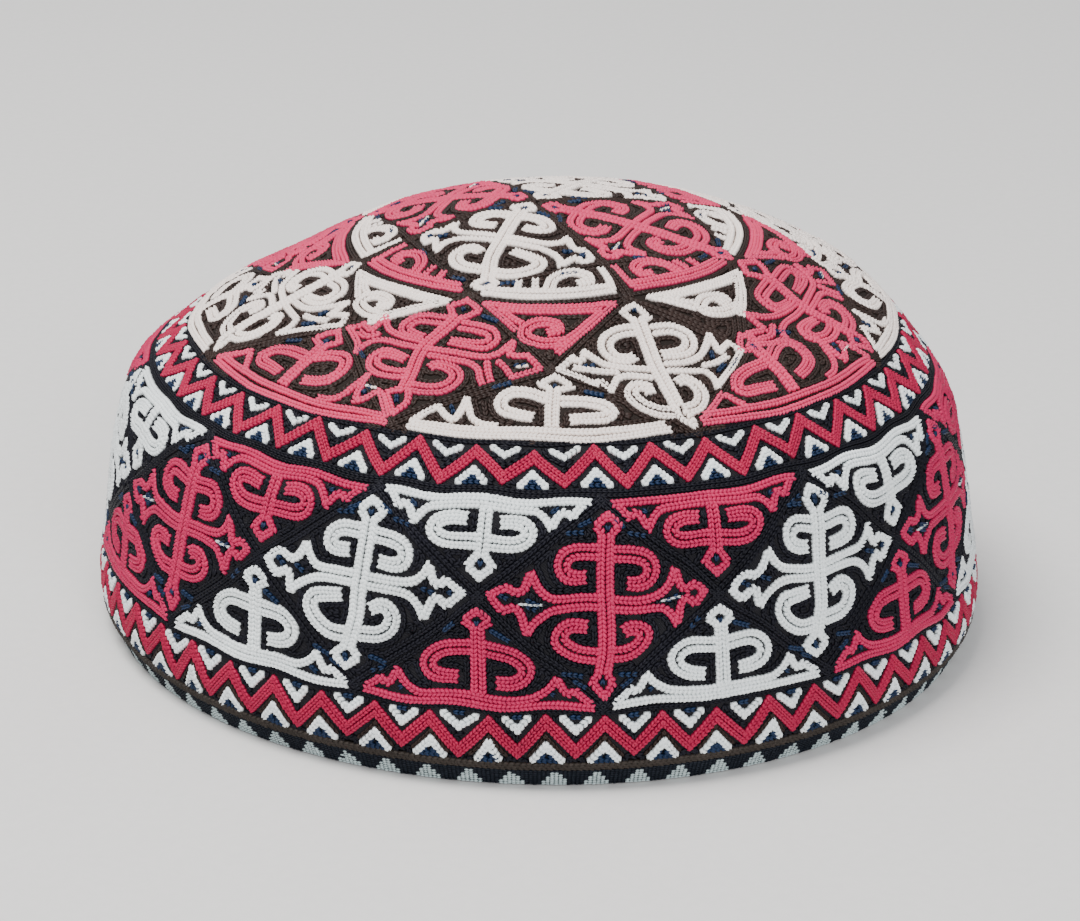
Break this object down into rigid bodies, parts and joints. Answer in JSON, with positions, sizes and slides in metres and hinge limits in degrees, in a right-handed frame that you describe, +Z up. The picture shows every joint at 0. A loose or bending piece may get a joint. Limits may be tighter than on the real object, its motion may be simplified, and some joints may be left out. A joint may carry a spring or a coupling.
{
  "type": "tubeteika skullcap",
  "caption": "Domed embroidered skullcap with a round crown, barrel side band, couched braid and woven hem trim, open underneath.",
  "frame": {"origin": "on the cap's axis, at the flat surface that its hem stands on", "axes": "+Z up along the cap's axis, towards the middle of the crown; -Y towards the front; +X to the right as seen from the front"},
  "size_m": [0.1904, 0.191, 0.0909],
  "materials": {
    "crown_cloth": "brown-black cotton ground under silk chain stitch",
    "band_cloth": "black ground under silk chain stitch",
    "braid": "dark brown twisted thread",
    "trim": "woven blue-black trim with pale stepped triangles"
  },
  "bodies": {
    "root": {"crown": "crown_cloth", "side_band": "band_cloth", "hem_braid": "braid", "hem_trim": "trim"}
  },
  "joints": []
}
